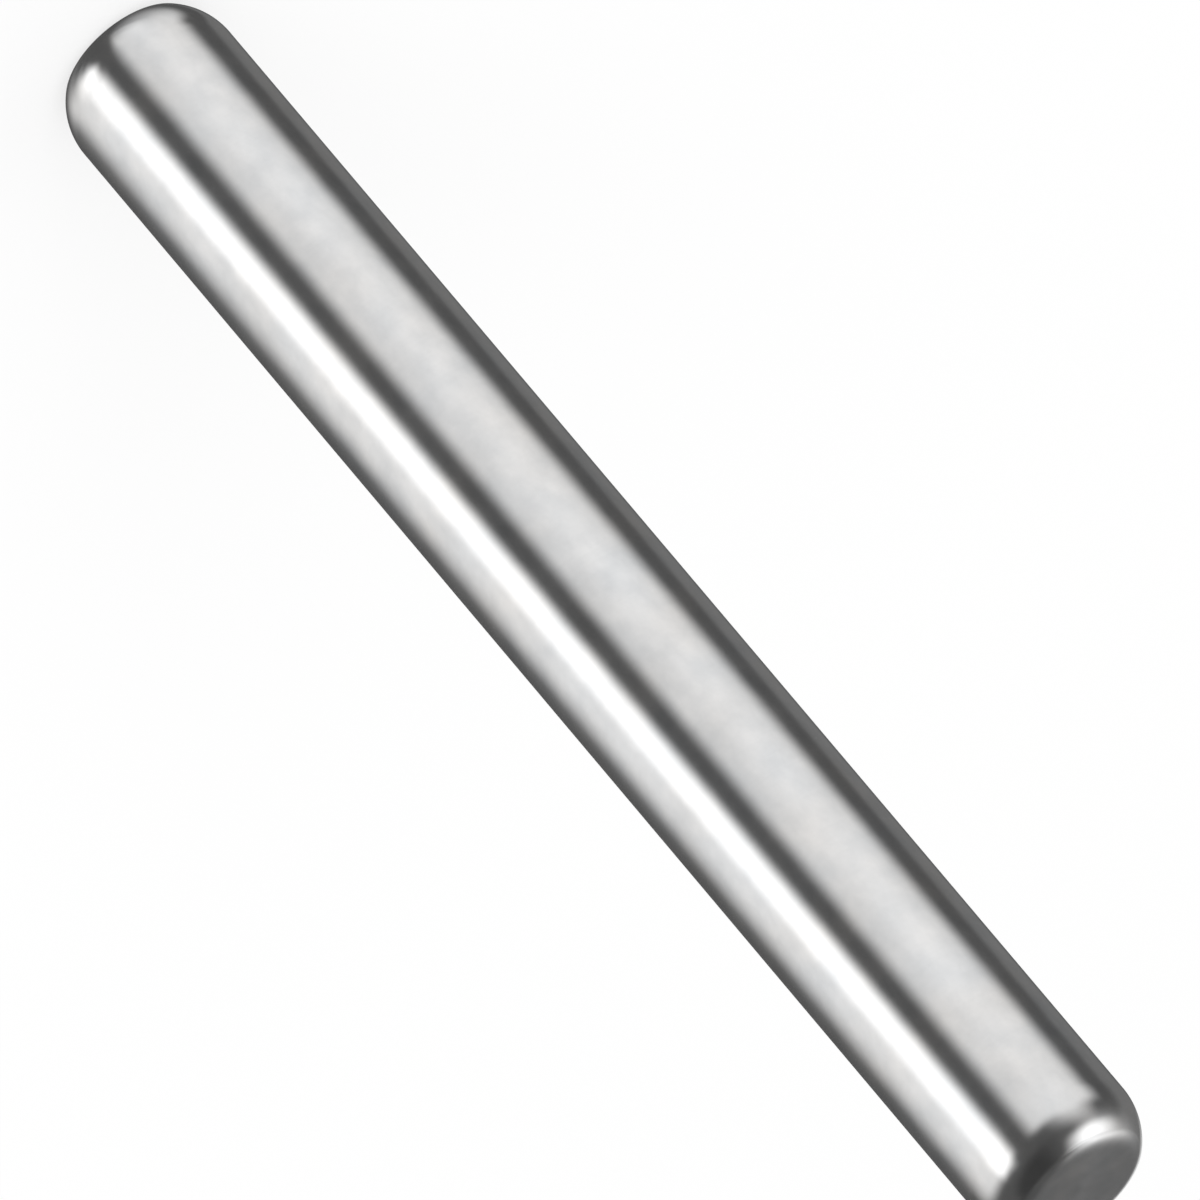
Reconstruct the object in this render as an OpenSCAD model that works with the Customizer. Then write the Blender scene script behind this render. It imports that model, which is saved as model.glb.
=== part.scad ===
// Metering pin: one solid round steel bar, ground to size along its side.
// Each end is blended from the side into a small flat face by two tangent arcs:
// a long shoulder arc off the side, then a tight corner arc onto the face.
// The pin stands on its lower end face, with its axis along Z.

/* [Pin] */
// Ground diameter of the side, which sets the metered gap in the pin's bore
pin_d = 4; // [2:0.5:12]
// Overall length, from end face to end face
pin_len = 35; // [10:1:120]

/* [Rounded ends] */
// Length of each rounded nose along the axis, from the straight side to the end face
nose_len = 1.2; // [0.8:0.1:3]
// How far each nose draws in from the side before it meets the end face
nose_drop = 0.7; // [0.5:0.05:0.95]
// Radius of the tight corner arc that runs out onto the end face
corner_r = 0.4; // [0.1:0.05:0.6]

/* [Hidden] */
$fn = 96;

pin_r = pin_d / 2;
face_r = pin_r - nose_drop;
// Radius of the shoulder arc that is tangent both to the side and to the corner arc
shoulder_r = (nose_drop ^ 2 + nose_len ^ 2 - 2 * nose_len * corner_r)
    / (2 * (nose_drop - corner_r));
// Centres of the two arcs, as [distance from the axis, height above the straight side]
shoulder_at = [pin_r - shoulder_r, 0];
corner_at = [face_r, nose_len - corner_r];
// Direction in which the two arcs touch, seen from the shoulder arc's centre
blend_angle = atan2(corner_at.y - shoulder_at.y, corner_at.x - shoulder_at.x);

// The part of the shoulder arc's disc between the straight side and the blend
module shoulder_sector() {
    reach = 2 * shoulder_r;
    intersection() {
        translate(shoulder_at) circle(r = shoulder_r);
        translate(shoulder_at)
            polygon([[0, 0], [reach, 0], reach * [cos(blend_angle), sin(blend_angle)]]);
    }
}

// Half section of one nose: it stands on the straight side and ends in the flat face
module nose_section() {
    inner_x = min(0, shoulder_at.x);
    intersection() {
        square([pin_r, nose_len]);
        union() {
            polygon([[inner_x, 0], shoulder_at, corner_at, [face_r, nose_len], [inner_x, nose_len]]);
            shoulder_sector();
            translate(corner_at) circle(r = corner_r);
        }
    }
}

// Half section of the whole pin, from the lower face at 0 to the upper face
module pin_section() {
    translate([0, nose_len]) {
        square([pin_r, pin_len - 2 * nose_len]);
        mirror([0, 1]) nose_section();
    }
    translate([0, pin_len - nose_len]) nose_section();
}

module metering_pin() {
    color("silver") rotate_extrude() pin_section();
}

metering_pin();
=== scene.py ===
"""Dresses the metering pin: a lathe-smooth steel body with its ground, burnished and lapped finishes.

The pin stands on its lower face. White paper, dark flags and softboxes surround it, so that the
polished side shows the long, clean stripes by which round bar stock is known.
"""

import logging
import math
from dataclasses import dataclass, field
from enum import Enum
from typing import ClassVar

import bpy
from mathutils import Matrix, Vector


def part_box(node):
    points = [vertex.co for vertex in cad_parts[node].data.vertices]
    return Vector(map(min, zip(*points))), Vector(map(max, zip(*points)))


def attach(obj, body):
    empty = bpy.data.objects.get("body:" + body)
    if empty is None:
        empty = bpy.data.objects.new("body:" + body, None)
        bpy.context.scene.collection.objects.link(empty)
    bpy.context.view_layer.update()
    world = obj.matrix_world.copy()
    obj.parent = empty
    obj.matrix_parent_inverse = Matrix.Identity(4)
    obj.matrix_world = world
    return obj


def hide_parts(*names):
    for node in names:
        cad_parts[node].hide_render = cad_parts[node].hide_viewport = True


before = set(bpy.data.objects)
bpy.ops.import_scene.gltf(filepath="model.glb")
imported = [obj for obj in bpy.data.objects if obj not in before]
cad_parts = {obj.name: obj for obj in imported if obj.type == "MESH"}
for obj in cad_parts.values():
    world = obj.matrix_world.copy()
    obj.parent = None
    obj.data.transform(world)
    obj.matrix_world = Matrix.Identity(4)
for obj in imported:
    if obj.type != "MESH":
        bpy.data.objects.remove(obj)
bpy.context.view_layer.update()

LOG = logging.getLogger("metering_pin")
MM = 0.001
NODE = "metering_pin"
BODY = "root"

Socket = bpy.types.NodeSocket
Value = Socket | float


class Zone(Enum):
    """The finishes that the lathe marks on the pin, by the name of the attribute that holds each."""

    ROUNDED = "burnish"
    FLAT = "lap"


# ---------------------------------------------------------------------------
# Node helpers
# ---------------------------------------------------------------------------


@dataclass
class NodeBench:
    """A short way to add and wire the nodes of one tree.

    Attributes:
        tree: The node tree that the bench fills.
    """

    tree: bpy.types.NodeTree

    def add(
        self, kind: str, inputs: dict[str | int, object] | None = None, **settings: object
    ) -> bpy.types.Node:
        """Adds a node.

        Args:
            kind: The node's type name in Blender.
            inputs: Values or sockets for its inputs, by name or by place.
            **settings: The node's own properties.

        Returns:
            The new node.
        """
        node = self.tree.nodes.new(kind)
        for name, value in settings.items():
            setattr(node, name, value)
        for name, value in (inputs or {}).items():
            self.feed(node.inputs[name], value)
        return node

    def feed(self, target: Socket, value: object) -> None:
        """Wires a socket into the target, or sets the target's own value."""
        if isinstance(value, bpy.types.NodeSocket):
            self.tree.links.new(value, target)
        else:
            target.default_value = value

    def math(self, operation: str, *values: Value, clamp: bool = False) -> Socket:
        """Adds a Math node.

        Args:
            operation: The operation's name, such as MULTIPLY.
            *values: Its operands, as numbers or sockets.
            clamp: Whether the result is held between 0 and 1.

        Returns:
            The result.
        """
        inputs = dict(enumerate(values))
        return self.add("ShaderNodeMath", inputs, operation=operation, use_clamp=clamp).outputs[0]

    def ramp(self, value: Value, low: Value, high: Value, start: Value = 0.0, end: Value = 1.0) -> Socket:
        """Eases from start to end while the value goes from low to high.

        Args:
            value: What drives the ramp.
            low: The value at which the ramp starts.
            high: The value at which the ramp ends.
            start: The result up to low.
            end: The result from high on.

        Returns:
            The eased result.
        """
        inputs = {"Value": value, "From Min": low, "From Max": high, "To Min": start, "To Max": end}
        return self.add("ShaderNodeMapRange", inputs, interpolation_type="SMOOTHSTEP").outputs["Result"]

    def blend(self, share: Value, first: Value, second: Value) -> Socket:
        """Mixes two numbers: the first at share 0, the second at share 1."""
        inputs = {"Factor": share, "A": first, "B": second}
        return self.add("ShaderNodeMix", inputs, data_type="FLOAT").outputs["Result"]


# ---------------------------------------------------------------------------
# The pin's body
# ---------------------------------------------------------------------------


@dataclass
class PinBody:
    """The pin's solid bar, turned from its half section by Geometry Nodes.

    Attributes:
        diameter: Ground diameter of the side, in metres.
        length: Length from end face to end face, in metres.
        nose_length: Length of each rounded nose along the axis.
        nose_drop: How far each nose draws in from the side before it meets its face.
        corner_radius: Radius of the tight corner that runs out onto the face.
        face_roll: Width of the ring of the face that the lap rolls off into that corner.
        segments: Facets round the axis.
        side_rings: Points along the straight side of the section.
        shoulder_rings: Points along each shoulder arc.
        corner_rings: Points along each rolled corner.
        face_rings: Points from the middle of each face to its edge.
    """

    diameter: float
    length: float
    nose_length: float = 1.2 * MM
    nose_drop: float = 0.7 * MM
    corner_radius: float = 0.4 * MM
    face_roll: float = 0.2 * MM
    segments: int = 256
    side_rings: int = 49
    shoulder_rings: int = 41
    corner_rings: int = 25
    face_rings: int = 13

    LENGTHS: ClassVar[dict[str, str]] = {
        "Diameter": "diameter",
        "Length": "length",
        "Nose Length": "nose_length",
        "Nose Drop": "nose_drop",
        "Corner Radius": "corner_radius",
        "Face Roll": "face_roll",
    }
    COUNTS: ClassVar[dict[str, str]] = {
        "Segments": "segments",
        "Side Rings": "side_rings",
        "Shoulder Rings": "shoulder_rings",
        "Corner Rings": "corner_rings",
        "Face Rings": "face_rings",
    }
    # Distance within which points on the seams are one, in metres
    WELD: ClassVar[float] = 1e-7
    # Steps in which the roll's curve is drawn before its points are spread evenly
    ROLL_STEPS: ClassVar[int] = 200
    # How far the roll's handles reach towards the point where its two tangents meet
    ROLL_PULL: ClassVar[float] = 2 / 3

    def lathe_tree(self, material: bpy.types.Material) -> bpy.types.NodeTree:
        """Builds the tree that turns the half section into the pin.

        Args:
            material: The steel that the turned mesh takes.

        Returns:
            The tree, with one named input for each size.
        """
        tree = bpy.data.node_groups.new("pin_lathe", "GeometryNodeTree")
        for name in self.LENGTHS:
            tree.interface.new_socket(name, in_out="INPUT", socket_type="NodeSocketFloat")
        for name in self.COUNTS:
            tree.interface.new_socket(name, in_out="INPUT", socket_type="NodeSocketInt")
        tree.interface.new_socket("Pin", in_out="OUTPUT", socket_type="NodeSocketGeometry")
        bench = NodeBench(tree)
        size = bench.add("NodeGroupInput").outputs
        nose = self._nose_section(bench, size)
        half = bench.math("MULTIPLY", size["Length"], 0.5)
        top = self._moved(bench, nose, (0.0, half))
        foot = self._flipped(bench, top)
        foot = bench.add("GeometryNodeReverseCurve", {"Curve": foot}).outputs["Curve"]
        side = self._side_section(bench, size)
        section = bench.add("GeometryNodeJoinGeometry")
        for part in (top, side, foot):
            tree.links.new(part, section.inputs[0])
        pin = self._turned(bench, size, section.outputs[0])
        pin = bench.add("GeometryNodeRealizeInstances", {"Geometry": pin}).outputs[0]
        pin = bench.add("GeometryNodeSetMaterial", {"Geometry": pin, "Material": material}).outputs[0]
        bench.add("NodeGroupOutput", {"Pin": pin})
        return tree

    def _nose_section(self, bench: NodeBench, size: bpy.types.NodeInputs) -> Socket:
        """Draws one nose from the middle of its face to the side, with the face at height 0.

        Args:
            bench: The bench of the lathe's tree.
            size: The tree's named inputs.

        Returns:
            The face line, the rolled corner and the shoulder arc, as curves.
        """
        corner, drop, nose = size["Corner Radius"], size["Nose Drop"], size["Nose Length"]
        radius = bench.math("MULTIPLY", size["Diameter"], 0.5)
        face = bench.math("SUBTRACT", radius, drop)
        # Radius of the shoulder arc, tangent both to the side and to the corner arc
        squares = bench.math("ADD", bench.math("MULTIPLY", drop, drop), bench.math("MULTIPLY", nose, nose))
        spare = bench.math("MULTIPLY", bench.math("MULTIPLY", nose, corner), 2.0)
        gap = bench.math("MULTIPLY", bench.math("SUBTRACT", drop, corner), 2.0)
        shoulder = bench.math("DIVIDE", bench.math("SUBTRACT", squares, spare), gap)
        shoulder_x = bench.math("SUBTRACT", radius, shoulder)
        shoulder_y = bench.math("MULTIPLY", nose, -1.0)
        corner_y = bench.math("MULTIPLY", corner, -1.0)
        rise = bench.math("SUBTRACT", nose, corner)
        touch = bench.math("ARCTAN2", rise, bench.math("SUBTRACT", face, shoulder_x))
        sweep = bench.math("SUBTRACT", touch, math.pi / 2)

        flat = bench.math("SUBTRACT", face, size["Face Roll"])
        edge = self._point(bench, flat)
        line = bench.add("GeometryNodeCurvePrimitiveLine", {"End": edge}).outputs["Curve"]
        line = self._resampled(bench, line, size["Face Rings"])
        # The face's line meets the shoulder's tangent here, so the roll is tangent to both
        half_sweep = bench.math("MULTIPLY", sweep, -0.5)
        meet = bench.math("MULTIPLY_ADD", corner, bench.math("TANGENT", half_sweep), face)
        touch_x = bench.math("MULTIPLY_ADD", corner, bench.math("COSINE", touch), face)
        touch_y = bench.math("MULTIPLY_ADD", corner, bench.math("SINE", touch), corner_y)
        roll = bench.add("GeometryNodeCurvePrimitiveBezierSegment", {
            "Resolution": self.ROLL_STEPS,
            "Start": edge,
            "Start Handle": self._point(bench, bench.blend(self.ROLL_PULL, flat, meet)),
            "End Handle": self._point(
                bench, bench.blend(self.ROLL_PULL, touch_x, meet), bench.blend(self.ROLL_PULL, touch_y, 0.0)
            ),
            "End": self._point(bench, touch_x, touch_y),
        }, mode="POSITION").outputs["Curve"]
        round_in = self._resampled(bench, roll, size["Corner Rings"])
        turn_back = bench.math("MULTIPLY", touch, -1.0)
        centre = (shoulder_x, shoulder_y)
        round_out = self._arc(bench, size["Shoulder Rings"], shoulder, touch, turn_back, centre)
        nose_curves = bench.add("GeometryNodeJoinGeometry")
        out = bench.add("GeometryNodeSplineParameter").outputs["Factor"]
        round_in = self._marked(bench, round_in, Zone.ROUNDED, out)
        round_in = self._marked(bench, round_in, Zone.FLAT, bench.math("SUBTRACT", 1.0, out))
        line = self._marked(bench, line, Zone.FLAT)
        round_out = self._marked(bench, round_out, Zone.ROUNDED)
        for part in (line, round_in, round_out):
            bench.tree.links.new(part, nose_curves.inputs[0])
        return nose_curves.outputs[0]

    def _side_section(self, bench: NodeBench, size: bpy.types.NodeInputs) -> Socket:
        """Draws the straight side, downwards, centred on height 0.

        Args:
            bench: The bench of the lathe's tree.
            size: The tree's named inputs.

        Returns:
            The side's line as a curve.
        """
        radius = bench.math("MULTIPLY", size["Diameter"], 0.5)
        reach = bench.math("SUBTRACT", bench.math("MULTIPLY", size["Length"], 0.5), size["Nose Length"])
        upper = self._point(bench, radius, reach)
        lower = self._point(bench, radius, bench.math("MULTIPLY", reach, -1.0))
        line = bench.add("GeometryNodeCurvePrimitiveLine", {"Start": upper, "End": lower}).outputs["Curve"]
        return self._resampled(bench, line, size["Side Rings"])

    def _resampled(self, bench: NodeBench, curve: Socket, count: Socket) -> Socket:
        """Spreads a number of points evenly along a curve."""
        return bench.add("GeometryNodeResampleCurve", {"Curve": curve, "Count": count}).outputs["Curve"]

    def _arc(
        self,
        bench: NodeBench,
        count: Socket,
        radius: Socket,
        start: Value,
        sweep: Socket,
        centre: tuple[Socket, Socket],
    ) -> Socket:
        """Draws an arc of the section.

        Args:
            bench: The bench of the lathe's tree.
            count: How many points the arc has.
            radius: Its radius.
            start: The angle at which it starts, in radians.
            sweep: The angle that it turns through.
            centre: Its centre, as distance from the axis and height.

        Returns:
            The arc as a curve.
        """
        inputs = {"Resolution": count, "Radius": radius, "Start Angle": start, "Sweep Angle": sweep}
        arc = bench.add("GeometryNodeCurveArc", inputs, mode="RADIUS").outputs["Curve"]
        return self._moved(bench, arc, centre)

    def _moved(self, bench: NodeBench, curve: Socket, offset: tuple[Value, Value]) -> Socket:
        """Moves a curve of the section by a distance from the axis and a height."""
        shift = self._point(bench, offset[0], offset[1])
        return bench.add("GeometryNodeTransform", {"Geometry": curve, "Translation": shift}).outputs[0]

    def _flipped(self, bench: NodeBench, curve: Socket) -> Socket:
        """Mirrors a curve of the section about height 0."""
        return bench.add("GeometryNodeTransform", {"Geometry": curve, "Scale": (1.0, -1.0, 1.0)}).outputs[0]

    def _point(self, bench: NodeBench, across: Value, up: Value = 0.0) -> Socket:
        """Gives the point of the section at a distance from the axis and a height."""
        return bench.add("ShaderNodeCombineXYZ", {"X": across, "Y": up}).outputs[0]

    def _marked(self, bench: NodeBench, curve: Socket, zone: Zone, share: Value = 1.0) -> Socket:
        """Marks how far a curve's points belong to a zone, for the steel to read."""
        inputs = {"Geometry": curve, "Name": zone.value, "Value": share}
        kept = bench.add("GeometryNodeStoreNamedAttribute", inputs, data_type="FLOAT", domain="POINT")
        return kept.outputs[0]

    def _turned(self, bench: NodeBench, size: bpy.types.NodeInputs, section: Socket) -> Socket:
        """Turns the section round the Z axis and stands the pin on height 0.

        The sweep runs along a ring of the pin's own radius. It lays the section's distance from the ring
        along the ring's radius, and the section's height downwards.

        Args:
            bench: The bench of the lathe's tree.
            size: The tree's named inputs.
            section: The half section's curves, centred on height 0.

        Returns:
            The closed, smooth mesh.
        """
        radius = bench.math("MULTIPLY", size["Diameter"], 0.5)
        inputs = {"Resolution": size["Segments"], "Radius": radius}
        ring = bench.add("GeometryNodeCurvePrimitiveCircle", inputs).outputs["Curve"]
        section = self._flipped(bench, section)
        section = self._moved(bench, section, (bench.math("MULTIPLY", radius, -1.0), 0.0))
        inputs = {"Curve": ring, "Profile Curve": section}
        pin = bench.add("GeometryNodeCurveToMesh", inputs).outputs["Mesh"]
        pin = bench.add("GeometryNodeMergeByDistance", {"Geometry": pin, "Distance": self.WELD}).outputs[0]
        half = bench.math("MULTIPLY", size["Length"], 0.5)
        rise = bench.add("ShaderNodeCombineXYZ", {"Z": half}).outputs[0]
        pin = bench.add("GeometryNodeTransform", {"Geometry": pin, "Translation": rise}).outputs[0]
        return bench.add("GeometryNodeSetShadeSmooth", {"Geometry": pin, "Shade Smooth": True}).outputs[0]

    def build(self, material: bpy.types.Material) -> bpy.types.Object:
        """Runs the lathe once and keeps its result as a plain mesh.

        Args:
            material: The steel that the pin is made of.

        Returns:
            The pin, in the frame's own place, with no modifier left on it.
        """
        blank = bpy.data.objects.new("pin_blank", bpy.data.meshes.new("pin_blank"))
        bpy.context.scene.collection.objects.link(blank)
        lathe = blank.modifiers.new("lathe", "NODES")
        tree = self.lathe_tree(material)
        lathe.node_group = tree
        for item in tree.interface.items_tree:
            if item.in_out == "INPUT":
                lathe[item.identifier] = getattr(self, (self.LENGTHS | self.COUNTS)[item.name])
        graph = bpy.context.evaluated_depsgraph_get()
        mesh = bpy.data.meshes.new_from_object(blank.evaluated_get(graph))
        mesh.name = "pin_body"
        bpy.data.objects.remove(blank)
        pin = bpy.data.objects.new("pin_body", mesh)
        bpy.context.scene.collection.objects.link(pin)
        return pin


# ---------------------------------------------------------------------------
# The steel
# ---------------------------------------------------------------------------


@dataclass(frozen=True)
class PolishedSteel:
    """Hardened steel: ground along the side, burnished on the noses, lapped on the faces.

    Attributes:
        tone: Share of light that the steel reflects, head on.
        cloud: How far that share drifts over the surface.
        warmth: How much more red and less blue than green it reflects.
        tint: How far red and blue drift apart over the surface.
        side_roughness: Roughness of the ground side.
        nose_roughness: Roughness of the burnished noses.
        face_roughness: Roughness of the lapped faces.
        roughness_drift: How far all three drift with the clouds.
        grain: How much stronger the blur is along the axis than round it.
        lay_height: Depth of the grinding lines, in metres.
        lay_tone: How far the tone differs from line to line.
    """

    tone: float = 0.74
    cloud: float = 0.12
    warmth: float = 0.0025
    tint: float = 0.028
    side_roughness: float = 0.17
    nose_roughness: float = 0.15
    face_roughness: float = 0.26
    roughness_drift: float = 0.05
    grain: float = 0.35
    lay_height: float = 0.00012 * MM
    lay_tone: float = 0.02

    # Cycles a metre of each pattern, across the pin twice and along it
    CLOUDS: ClassVar[tuple[float, float, float]] = (1800.0, 1800.0, 1400.0)
    FILM: ClassVar[tuple[float, float, float]] = (900.0, 900.0, 700.0)
    LAY: ClassVar[tuple[float, float, float]] = (120.0, 120.0, 16000.0)
    # Share of a full turn that lays the blur along the axis
    GRAIN_TURN: ClassVar[float] = 0.25

    def build(self) -> bpy.types.Material:
        """Builds the material.

        Returns:
            The steel, with its patterns on Object coordinates.
        """
        material = bpy.data.materials.new("polished_steel")
        material.use_nodes = True
        material.node_tree.nodes.clear()
        bench = NodeBench(material.node_tree)
        place = bench.add("ShaderNodeTexCoord").outputs["Object"]
        burnish = bench.add("ShaderNodeAttribute", attribute_name=Zone.ROUNDED.value).outputs["Fac"]
        lap = bench.add("ShaderNodeAttribute", attribute_name=Zone.FLAT.value).outputs["Fac"]
        clouds = self._noise(bench, place, self.CLOUDS, detail=6.0)
        lay = self._noise(bench, place, self.LAY, detail=2.0)
        film = self._noise(bench, place, self.FILM, detail=2.0)
        rounded = bench.blend(burnish, self.side_roughness, self.nose_roughness)
        roughness = bench.blend(lap, rounded, self.face_roughness)
        drift = bench.math("MULTIPLY_ADD", clouds, self.roughness_drift, -self.roughness_drift / 2)
        steel = bench.add("ShaderNodeBsdfPrincipled", {
            "Base Color": self._colour(bench, clouds, lay, film),
            "Metallic": 1.0,
            "Roughness": bench.math("ADD", roughness, drift),
            "Anisotropic": self.grain,
            "Anisotropic Rotation": self.GRAIN_TURN,
            "Tangent": bench.add("ShaderNodeTangent", direction_type="RADIAL", axis="Z").outputs[0],
            "Normal": self._relief(bench, lay),
        })
        bench.add("ShaderNodeOutputMaterial", {"Surface": steel.outputs[0]})
        return material

    def _noise(
        self, bench: NodeBench, place: Socket, scale: tuple[float, float, float], detail: float
    ) -> Socket:
        """Adds a noise with its own scale along each axis, in cycles a metre."""
        stretched = bench.add("ShaderNodeMapping", {"Vector": place, "Scale": scale}).outputs[0]
        inputs = {"Vector": stretched, "Scale": 1.0, "Detail": detail}
        return bench.add("ShaderNodeTexNoise", inputs).outputs[0]

    def _colour(self, bench: NodeBench, clouds: Socket, lay: Socket, film: Socket) -> Socket:
        """Drifts the steel's tone with the clouds and from line to line, and its tint with the oil film.

        Args:
            bench: The bench of the material's tree.
            clouds: The clouds' noise.
            lay: The noise of the grinding lines.
            film: The noise of the film.

        Returns:
            The steel's colour.
        """
        shade = bench.math("MULTIPLY_ADD", clouds, self.cloud * 2, self.tone - self.cloud)
        lines = bench.math("MULTIPLY_ADD", lay, self.lay_tone, -self.lay_tone / 2)
        shade = bench.math("ADD", shade, lines)
        cast = bench.math("MULTIPLY_ADD", film, self.tint * 2, self.warmth - self.tint)
        red = bench.math("MULTIPLY", shade, bench.math("ADD", 1.0, cast))
        blue = bench.math("MULTIPLY", shade, bench.math("SUBTRACT", 1.0, cast))
        return bench.add("ShaderNodeCombineColor", {"Red": red, "Green": shade, "Blue": blue}).outputs[0]

    def _relief(self, bench: NodeBench, lay: Socket) -> Socket:
        """Turns the grinding lines into a faint relief."""
        inputs = {"Strength": 1.0, "Distance": self.lay_height, "Height": lay}
        return bench.add("ShaderNodeBump", inputs).outputs[0]


# ---------------------------------------------------------------------------
# The studio
# ---------------------------------------------------------------------------


@dataclass(frozen=True)
class Card:
    """One flag, softbox or paper that the steel reflects, as it is seen from the pin.

    Attributes:
        name: What the card is.
        azimuth: Where it starts and ends round the pin, in degrees from the camera, clockwise from above.
        elevation: Where it starts and ends above the horizon, in degrees.
        edges: How wide its start, end, lower and upper edges fade, in degrees.
        radiance: How bright it is, where 1 is the white paper.
        lean: How much its lower and upper edges climb for each degree of azimuth.
    """

    name: str
    azimuth: tuple[float, float]
    elevation: tuple[float, float]
    edges: tuple[float, float, float, float]
    radiance: float
    lean: float = 0.0


@dataclass(frozen=True)
class Studio:
    """The light round the pin: white paper, with flags and softboxes that only reflections show.

    Attributes:
        paper: Radiance of the paper, as the camera and the reflections see it.
        fill: Radiance of the surroundings as the floor gets it.
        room: Radiance of the dark room between the cards.
        cards: The cards, from back to front.
    """

    paper: float = 1.0
    fill: float = 0.78
    room: float = 0.10
    cards: tuple[Card, ...] = (
        Card("ceiling", (-106.0, 1.5), (30.0, 85.0), (85.0, 59.0, 15.0, 54.0), 0.053, lean=-0.05),
        Card("low_paper", (76.0, 120.5), (-70.0, -40.0), (4.0, 90.0, 49.0, 13.0), 0.97, lean=-0.24),
        Card("side_paper", (-108.5, -43.5), (-54.5, 7.0), (47.0, 19.0, 13.0, 17.0), 0.97, lean=0.25),
        Card("low_side_paper", (-139.0, -74.5), (-49.5, -32.5), (56.0, 9.0, 25.0, 23.0), 0.86, lean=0.08),
        Card("main_paper", (-3.5, 88.0), (-82.0, 0.5), (24.0, 27.0, 35.0, 15.0), 0.835, lean=-0.09),
        Card("main_glow", (25.5, 70.0), (-71.0, 13.0), (38.0, 37.0, 15.0, 42.0), 1.0, lean=0.17),
        Card("back_glow", (119.5, 160.5), (-34.5, 18.0), (20.0, 16.0, 5.0, 5.0), 0.19, lean=-0.35),
        Card("overhead_glow", (65.0, 158.0), (40.5, 71.0), (47.0, 58.0, 90.0, 25.0), 1.64, lean=-0.1),
        Card("overhead_softbox", (44.5, 97.5), (28.0, 57.0), (55.0, 56.0, 15.0, 30.0), 1.7, lean=-0.31),
        Card("back_wall", (178.0, 201.5), (-0.5, 41.5), (4.0, 32.0, 28.0, 23.0), 0.159, lean=-0.06),
        Card("rear_paper", (165.0, 222.0), (-20.0, 3.0), (16.0, 20.0, 10.0, 14.0), 0.85),
        Card("strip_softbox", (-67.0, -37.5), (-34.0, 8.0), (15.0, 23.0, 30.0, 15.0), 1.7, lean=-0.12),
        Card("strip_foot", (-83.0, -48.0), (-60.5, -36.5), (44.0, 23.0, 14.0, 30.0), 1.7, lean=0.19),
    )

    def build(self) -> None:
        """Makes the world show the paper to the camera and the cards to the steel."""
        world = bpy.data.worlds.new("studio")
        world.use_nodes = True
        world.cycles.sampling_method = "NONE"
        world.node_tree.nodes.clear()
        bench = NodeBench(world.node_tree)
        seen = self.room
        azimuth, elevation = self._direction(bench)
        for card in self.cards:
            seen = bench.blend(self._mask(bench, card, azimuth, elevation), seen, card.radiance)
            seen.node.label = card.name
        ray = bench.add("ShaderNodeLightPath").outputs
        direct = bench.math("MAXIMUM", ray["Is Camera Ray"], ray["Is Transmission Ray"])
        radiance = bench.blend(ray["Is Glossy Ray"], bench.blend(direct, self.fill, self.paper), seen)
        background = bench.add("ShaderNodeBackground", {"Color": (1.0, 1.0, 1.0, 1.0), "Strength": radiance})
        bench.add("ShaderNodeOutputWorld", {"Surface": background.outputs[0]})
        bpy.context.scene.world = world

    def _direction(self, bench: NodeBench) -> tuple[Socket, Socket]:
        """Reads the direction in which the world is seen.

        Args:
            bench: The bench of the world's tree.

        Returns:
            The azimuth from the camera's side and the elevation, in degrees.
        """
        ray = bench.add("ShaderNodeTexCoord").outputs["Generated"]
        way = bench.add("ShaderNodeSeparateXYZ", {"Vector": ray}).outputs
        left, near = (bench.math("MULTIPLY", way[axis], -1.0) for axis in ("X", "Y"))
        azimuth = bench.math("ARCTAN2", left, near)
        elevation = bench.math("ARCSINE", way["Z"])
        return bench.math("DEGREES", azimuth), bench.math("DEGREES", elevation)

    def _mask(self, bench: NodeBench, card: Card, azimuth: Socket, elevation: Socket) -> Socket:
        """Says where a card covers what is behind it.

        Args:
            bench: The bench of the world's tree.
            card: The card.
            azimuth: The azimuth that is looked at.
            elevation: The elevation that is looked at.

        Returns:
            1 on the card, 0 off it, and between them along its soft edges.
        """
        middle = sum(card.azimuth) / 2
        half = (card.azimuth[1] - card.azimuth[0]) / 2
        across = bench.math("WRAP", bench.math("SUBTRACT", azimuth, middle), 180.0, -180.0)
        start, end, low, high = (edge / 2 for edge in card.edges)
        bottom, top = card.elevation
        height = bench.math("MULTIPLY_ADD", across, -card.lean, elevation)
        sides = (
            bench.ramp(across, -half - start, -half + start),
            bench.ramp(across, half - end, half + end, 1.0, 0.0),
            bench.ramp(height, bottom - low, bottom + low),
            bench.ramp(height, top - high, top + high, 1.0, 0.0),
        )
        mask = sides[0]
        for side in sides[1:]:
            mask = bench.math("MULTIPLY", mask, side)
        return mask


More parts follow.
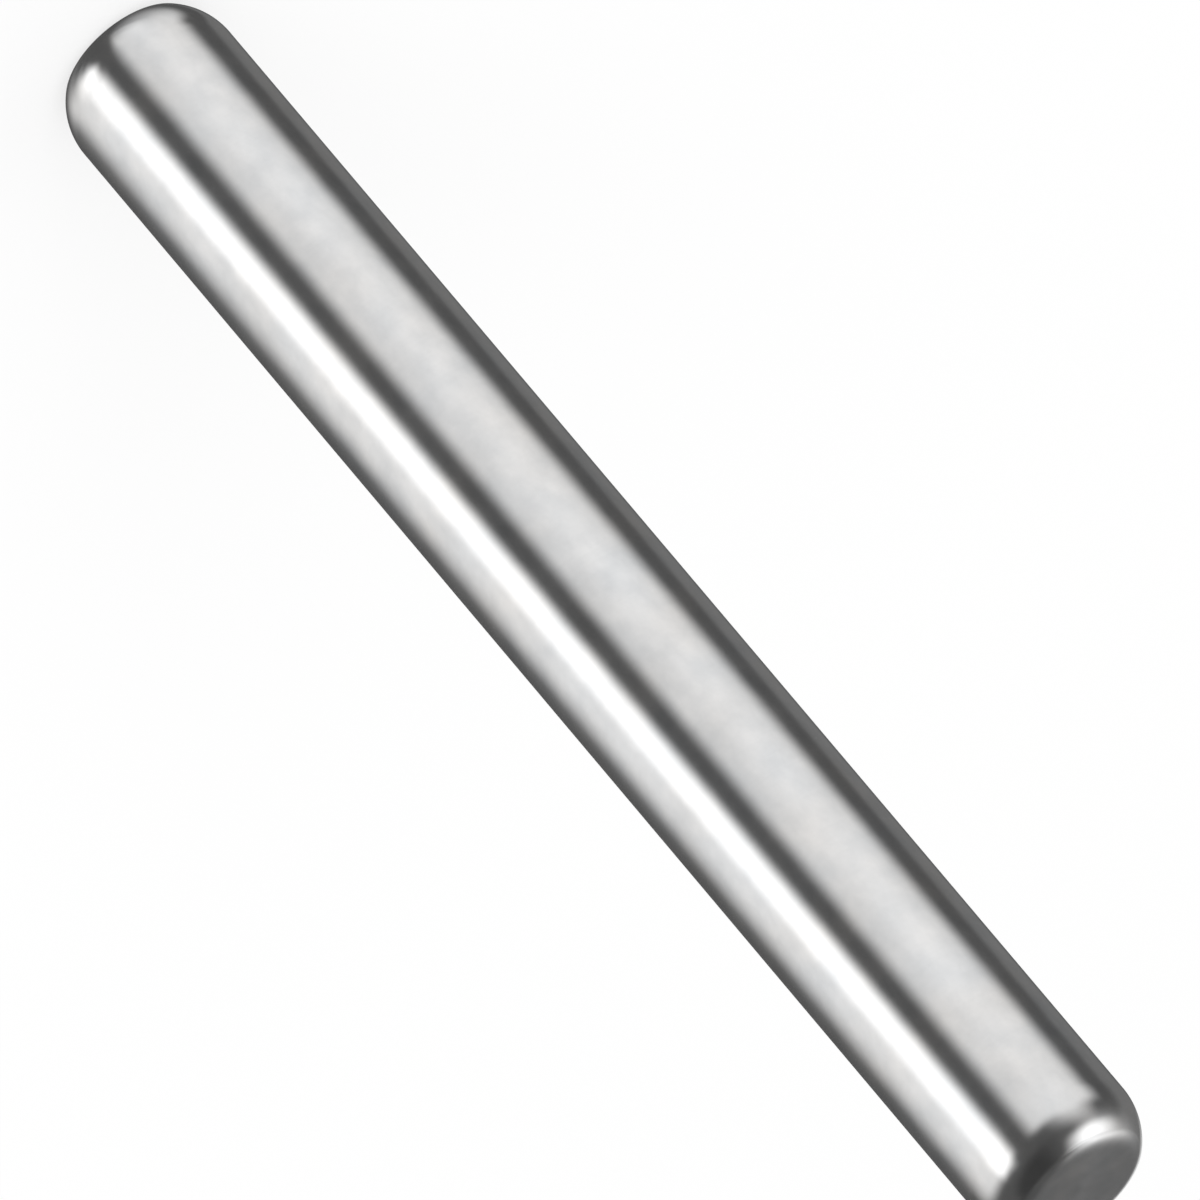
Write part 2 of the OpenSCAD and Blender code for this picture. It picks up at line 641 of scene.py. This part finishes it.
@dataclass(frozen=True)
class Floor:
    """The white paper that the pin stands on.

    Attributes:
        half_width: Half of the paper's width, in metres.
        sink: How far the paper lies below the pin's face, so that the two never coincide.
        glow: Share of plain white that the camera sees in it, which leaves the shadow faint.
    """

    half_width: float = 1.5
    sink: float = 0.00001
    glow: float = 0.7

    def build(self) -> bpy.types.Object:
        """Lays the paper down.

        Returns:
            The floor, which reflections pass through to the studio's cards.
        """
        reach = self.half_width
        outline = ((-reach, -reach), (reach, -reach), (reach, reach), (-reach, reach))
        mesh = bpy.data.meshes.new("floor")
        mesh.from_pydata([(x, y, -self.sink) for x, y in outline], [], [(0, 1, 2, 3)])
        floor = bpy.data.objects.new("floor", mesh)
        bpy.context.scene.collection.objects.link(floor)
        material = bpy.data.materials.new("white_paper")
        material.use_nodes = True
        material.node_tree.nodes.clear()
        bench = NodeBench(material.node_tree)
        lit = bench.add("ShaderNodeBsdfDiffuse", {"Color": (1.0, 1.0, 1.0, 1.0)}).outputs[0]
        white = bench.add("ShaderNodeEmission", {"Color": (1.0, 1.0, 1.0, 1.0), "Strength": 1.0}).outputs[0]
        seen = bench.add("ShaderNodeLightPath").outputs["Is Camera Ray"]
        share = bench.math("MULTIPLY", seen, self.glow)
        paper = bench.add("ShaderNodeMixShader", {0: share, 1: lit, 2: white}).outputs[0]
        bench.add("ShaderNodeOutputMaterial", {"Surface": paper})
        mesh.materials.append(material)
        floor.visible_glossy = False
        return floor


@dataclass(frozen=True)
class KeyLight:
    """The large softbox that gives the floor its soft shadow.

    Attributes:
        place: Where it hangs, in metres.
        width: Side of its square face.
        power: Its power in watts.
    """

    place: Vector = field(default_factory=lambda: Vector((0.0, -0.5, 0.8)))
    width: float = 0.5
    power: float = 2.6

    def build(self) -> bpy.types.Object:
        """Hangs the softbox and turns it to the pin.

        Returns:
            The lamp, which lights the floor and stays out of reflections.
        """
        lamp = bpy.data.lights.new("key_light", "AREA")
        lamp.size = self.width
        lamp.energy = self.power
        light = bpy.data.objects.new("key_light", lamp)
        light.location = self.place
        light.rotation_euler = (-self.place).to_track_quat("-Z", "Y").to_euler()
        light.visible_glossy = False
        light.visible_camera = False
        bpy.context.scene.collection.objects.link(light)
        return light


@dataclass(frozen=True)
class ProductCamera:
    """The camera: above the pin's top face, and rolled so that the pin lies across the frame.

    Attributes:
        elevation: How far it looks down, in degrees.
        axis_angle: Angle of the pin's upward axis in the picture, in degrees from rightwards.
        frame_width: Width that the frame spans at the pin, in metres.
        pin_offset: Where the pin's middle lies in the frame, right and up of its centre, in metres.
        distance: Distance from the pin's middle, in metres.
        sensor: Width of the sensor, in millimetres.
    """

    elevation: float = 27.6
    axis_angle: float = -49.82
    frame_width: float = 25.08 * MM
    pin_offset: tuple[float, float] = (0.003 * MM, -0.377 * MM)
    distance: float = 1.1
    sensor: float = 36.0

    def build(self, middle: Vector) -> bpy.types.Object:
        """Places the camera and makes it the scene's own.

        Args:
            middle: The middle of the pin.

        Returns:
            The camera.
        """
        tilt, roll = math.radians(self.elevation), math.radians(self.axis_angle)
        back = Vector((0.0, -math.cos(tilt), math.sin(tilt)))
        upright = Vector((0.0, math.sin(tilt), math.cos(tilt)))
        sideways = Vector((1.0, 0.0, 0.0))
        right = math.cos(roll) * upright + math.sin(roll) * sideways
        up = math.sin(roll) * upright - math.cos(roll) * sideways
        aim = middle - self.pin_offset[0] * right - self.pin_offset[1] * up
        data = bpy.data.cameras.new("product_camera")
        data.sensor_width = self.sensor
        data.lens = self.sensor * self.distance / self.frame_width
        camera = bpy.data.objects.new("product_camera", data)
        turn = Matrix((right, up, back)).transposed().to_4x4()
        camera.matrix_world = Matrix.Translation(aim + self.distance * back) @ turn
        bpy.context.scene.collection.objects.link(camera)
        bpy.context.scene.camera = camera
        return camera


# ---------------------------------------------------------------------------
# The scene
# ---------------------------------------------------------------------------


def main() -> None:
    logging.basicConfig(level=logging.INFO, format="%(name)s: %(message)s")
    bpy.context.scene.view_settings.view_transform = "Standard"
    low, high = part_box(NODE)
    pin = PinBody(diameter=2 * high.x, length=high.z).build(PolishedSteel().build())
    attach(pin, BODY)
    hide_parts(NODE)
    LOG.info("%s: %d faces, %.1f mm long", pin.name, len(pin.data.polygons), high.z / MM)
    Studio().build()
    for prop in (Floor().build(), KeyLight().build(), ProductCamera().build((low + high) / 2)):
        LOG.info("%s: in place", prop.name)


if __name__ == "__main__":
    main()
